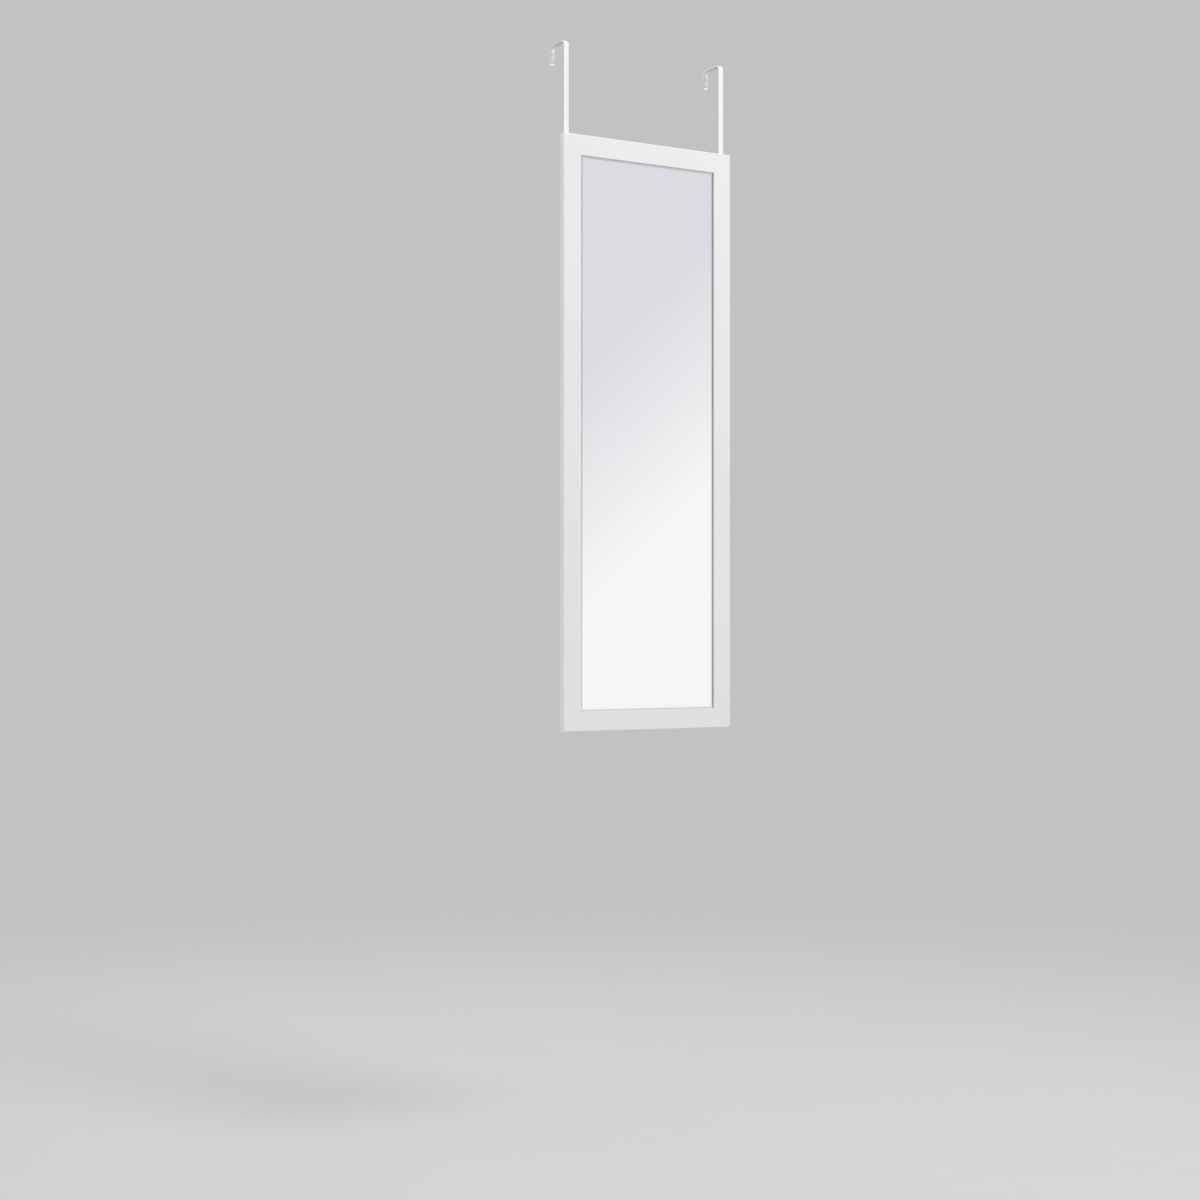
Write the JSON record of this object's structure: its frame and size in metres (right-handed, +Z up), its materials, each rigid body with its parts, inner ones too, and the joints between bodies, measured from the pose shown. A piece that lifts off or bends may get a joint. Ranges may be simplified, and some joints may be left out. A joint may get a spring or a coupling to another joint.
{
  "type": "over the door mirror",
  "caption": "Tall narrow framed mirror that hangs over the top of a door on adjustable hooked straps.",
  "frame": {"origin": "the middle of the top front edge of the door that the hooks hang on, halfway between the two straps", "axes": "+X along the door to the viewer's right, +Y through the door from the mirror's side to the far side, +Z up; the glass faces -Y"},
  "size_m": [0.36, 0.0655, 1.2395],
  "materials": {
    "white_moulding": "fibreboard moulding wrapped in satin white foil",
    "mirror": "silvered float glass, clear and flat",
    "film": "thin woven safety film",
    "foam": "thin closed-cell packing foam",
    "hardboard": "smooth brown hardboard",
    "bright_steel": "bright zinc plating",
    "white_coated_steel": "gloss white powder coat",
    "felt": "pressed self-adhesive felt, off-white",
    "bumper_rubber": "soft grey rubber"
  },
  "bodies": {
    "frame": {"frame_top_rail": "white_moulding", "frame_bottom_rail": "white_moulding", "frame_left_stile": "white_moulding", "frame_right_stile": "white_moulding", "mirror_glass": "mirror", "safety_film": "film", "foam_sheet": "foam", "backing_board": "hardboard", "board_points": "bright_steel", "corner_v_nails": "bright_steel", "left_strap_screws": "bright_steel", "right_strap_screws": "bright_steel", "upper_bumpers": "bumper_rubber", "lower_bumpers": "bumper_rubber"},
    "left_strap": {"left_hanger_strap": "white_coated_steel", "left_seat_pad": "felt", "left_lip_pad": "felt"},
    "right_strap": {"right_hanger_strap": "white_coated_steel", "right_seat_pad": "felt", "right_lip_pad": "felt"}
  },
  "joints": [
    {"name": "left_strap_slide", "type": "slide", "parent": "frame", "child": "left_strap", "axis": [0, 0, 1], "range_m": [-0.02, 0.02]},
    {"name": "right_strap_slide", "type": "slide", "parent": "frame", "child": "right_strap", "axis": [0, 0, 1], "range_m": [-0.02, 0.02]}
  ]
}
